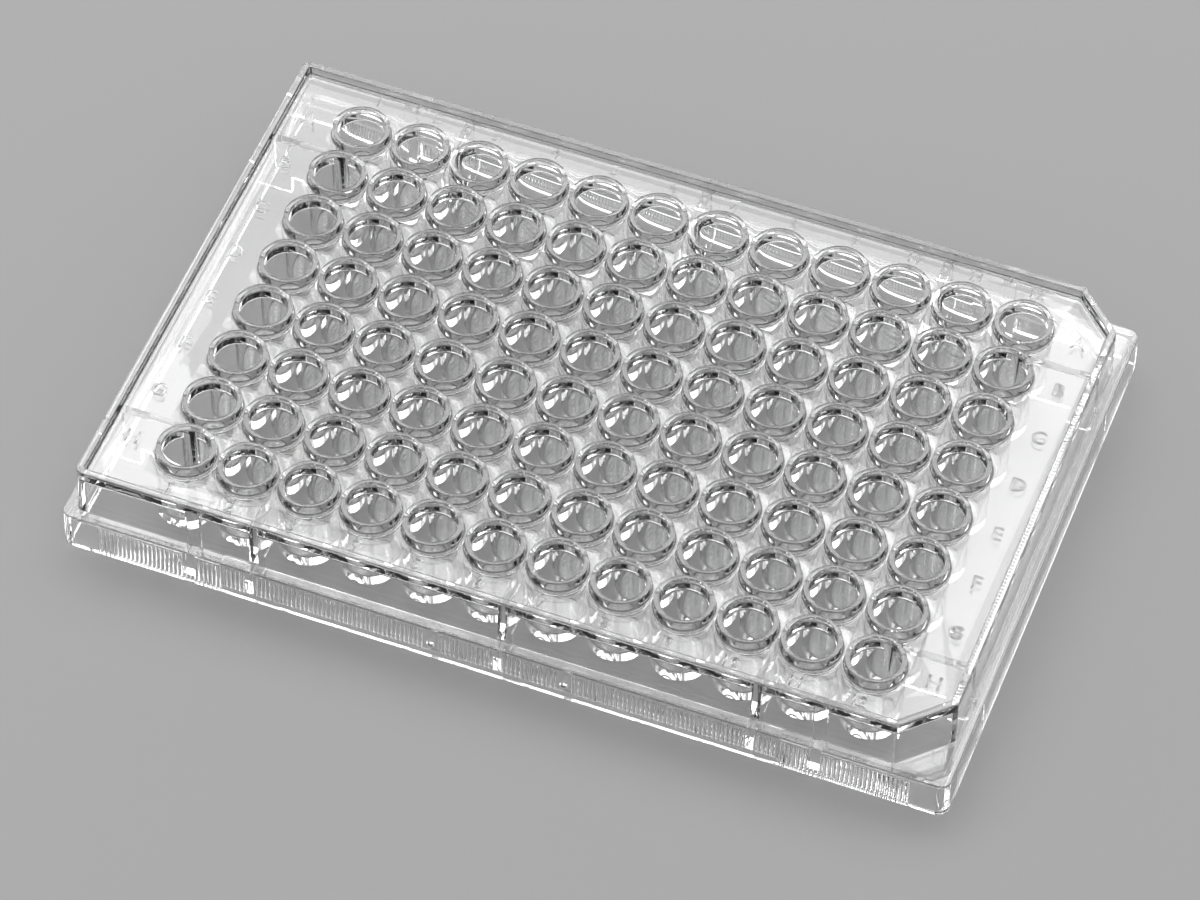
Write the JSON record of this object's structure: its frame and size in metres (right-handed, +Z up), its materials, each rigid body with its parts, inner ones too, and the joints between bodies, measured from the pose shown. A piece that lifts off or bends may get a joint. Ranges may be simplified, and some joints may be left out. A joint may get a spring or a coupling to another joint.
{
  "type": "well plate",
  "caption": "Clear moulded assay plate with a grid of flat-bottomed round wells, a lid ledge, cut corners and a flanged open base.",
  "frame": {"origin": "middle of the flange's footprint, on the bench the plate stands on", "axes": "+X along a row, from column 1 to the last column; +Y across the rows, towards row A; +Z up, out of the wells' mouths"},
  "size_m": [0.1278, 0.0854, 0.0143],
  "materials": {
    "plate": "gloss"
  },
  "bodies": {
    "root": {"plate": "plate"}
  },
  "joints": []
}
